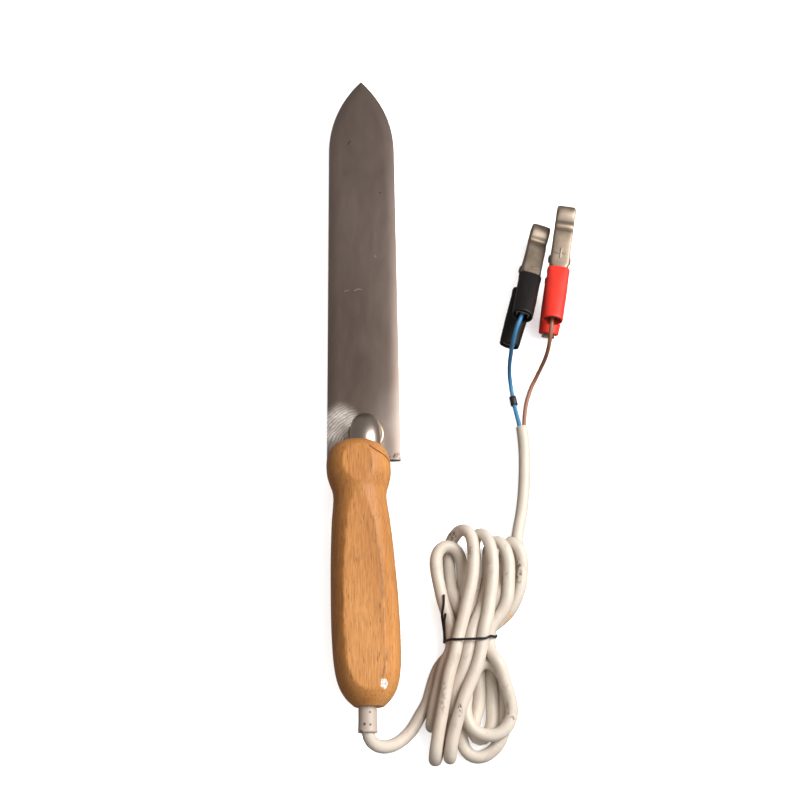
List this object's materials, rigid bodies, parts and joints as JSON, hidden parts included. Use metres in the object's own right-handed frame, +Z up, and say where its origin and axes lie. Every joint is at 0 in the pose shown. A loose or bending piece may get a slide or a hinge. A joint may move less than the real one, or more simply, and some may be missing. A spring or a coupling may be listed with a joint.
{
  "type": "electric uncapping knife",
  "caption": "Hollow heated steel blade on a bent shank with a turned wooden handle, and a low-voltage lead tied in a hank with red and black battery clips.",
  "frame": {"origin": "centre of the knife's footprint, on the surface that the blade's underside rests on, leaving out the cord and what is on it", "axes": "+Y along the blade towards its point, +Z up from the surface, +X to the side where the cord lies"},
  "size_m": [0.1406, 0.3971, 0.0417],
  "materials": {
    "blade_steel": "satin ground stainless steel",
    "shank_steel": "polished stainless tube",
    "braze": "dull brazing metal",
    "mica": "flaky mica sheet",
    "heater_foil": "resistance foil",
    "lead_sleeving": "woven glass sleeving",
    "terminal_brass": "tinned brass",
    "beech": "lacquered steamed beech",
    "sleeve_plastic": "soft plastic sleeve",
    "cord_pvc": "satin PVC jacket",
    "tie_coating": "coated steel wire",
    "blue_pvc": "core insulation",
    "brown_pvc": "core insulation",
    "black_plastic": "shrunk sleeving and moulded clamp",
    "clip_nickel": "nickel plated pressed steel",
    "spring_steel": "spring wire",
    "red_sleeve_pvc": "soft dipped PVC",
    "black_sleeve_pvc": "soft dipped PVC"
  },
  "bodies": {
    "knife": {"blade_lower_plate": "blade_steel", "blade_upper_shell": "blade_steel", "blade_end_strip": "blade_steel", "mica_lower_sheet": "mica", "heating_foil": "heater_foil", "mica_upper_sheet": "mica", "shank_tube": "shank_steel", "shank_braze_ring": "braze", "handle": "beech", "element_lead_left": "lead_sleeving", "crimp_splice_left": "terminal_brass", "inner_core_left": "blue_pvc", "element_lead_right": "lead_sleeving", "crimp_splice_right": "terminal_brass", "inner_core_right": "brown_pvc", "cord_clamp": "black_plastic", "entry_sleeve": "sleeve_plastic", "cord_lead": "cord_pvc", "cord_hank": "cord_pvc", "hank_tie_wire": "tie_coating", "cord_tail": "cord_pvc", "blue_core": "blue_pvc", "brown_core": "brown_pvc", "core_marker_band": "black_plastic", "red_clip_lower_lever": "clip_nickel", "red_clip_pivot_pin": "clip_nickel", "red_clip_spring": "spring_steel", "red_clip_lower_sleeve": "red_sleeve_pvc", "black_clip_lower_lever": "clip_nickel", "black_clip_pivot_pin": "clip_nickel", "black_clip_spring": "spring_steel", "black_clip_lower_sleeve": "black_sleeve_pvc"},
    "red_clip_upper": {"red_clip_upper_lever": "clip_nickel", "red_clip_upper_sleeve": "red_sleeve_pvc", "red_clip_wire_crimp": "terminal_brass"},
    "black_clip_upper": {"black_clip_upper_lever": "clip_nickel", "black_clip_upper_sleeve": "black_sleeve_pvc", "black_clip_wire_crimp": "terminal_brass"}
  },
  "joints": [
    {"name": "red_clip_opening", "type": "hinge", "parent": "knife", "child": "red_clip_upper", "pos_m": [0.1098, 0.056, 0.0198], "axis": [0.9836, -0.1794, 0.0174], "range_deg": [0, 22], "stiffness_Nm_per_rad": 0.6, "springref_deg": -30, "deforming": ["red_clip_spring", "brown_core"]},
    {"name": "black_clip_opening", "type": "hinge", "parent": "knife", "child": "black_clip_upper", "pos_m": [0.0936, 0.0516, 0.0144], "axis": [0.9516, -0.2834, -0.1187], "range_deg": [0, 22], "stiffness_Nm_per_rad": 0.6, "springref_deg": -30, "deforming": ["black_clip_spring", "blue_core"]}
  ]
}
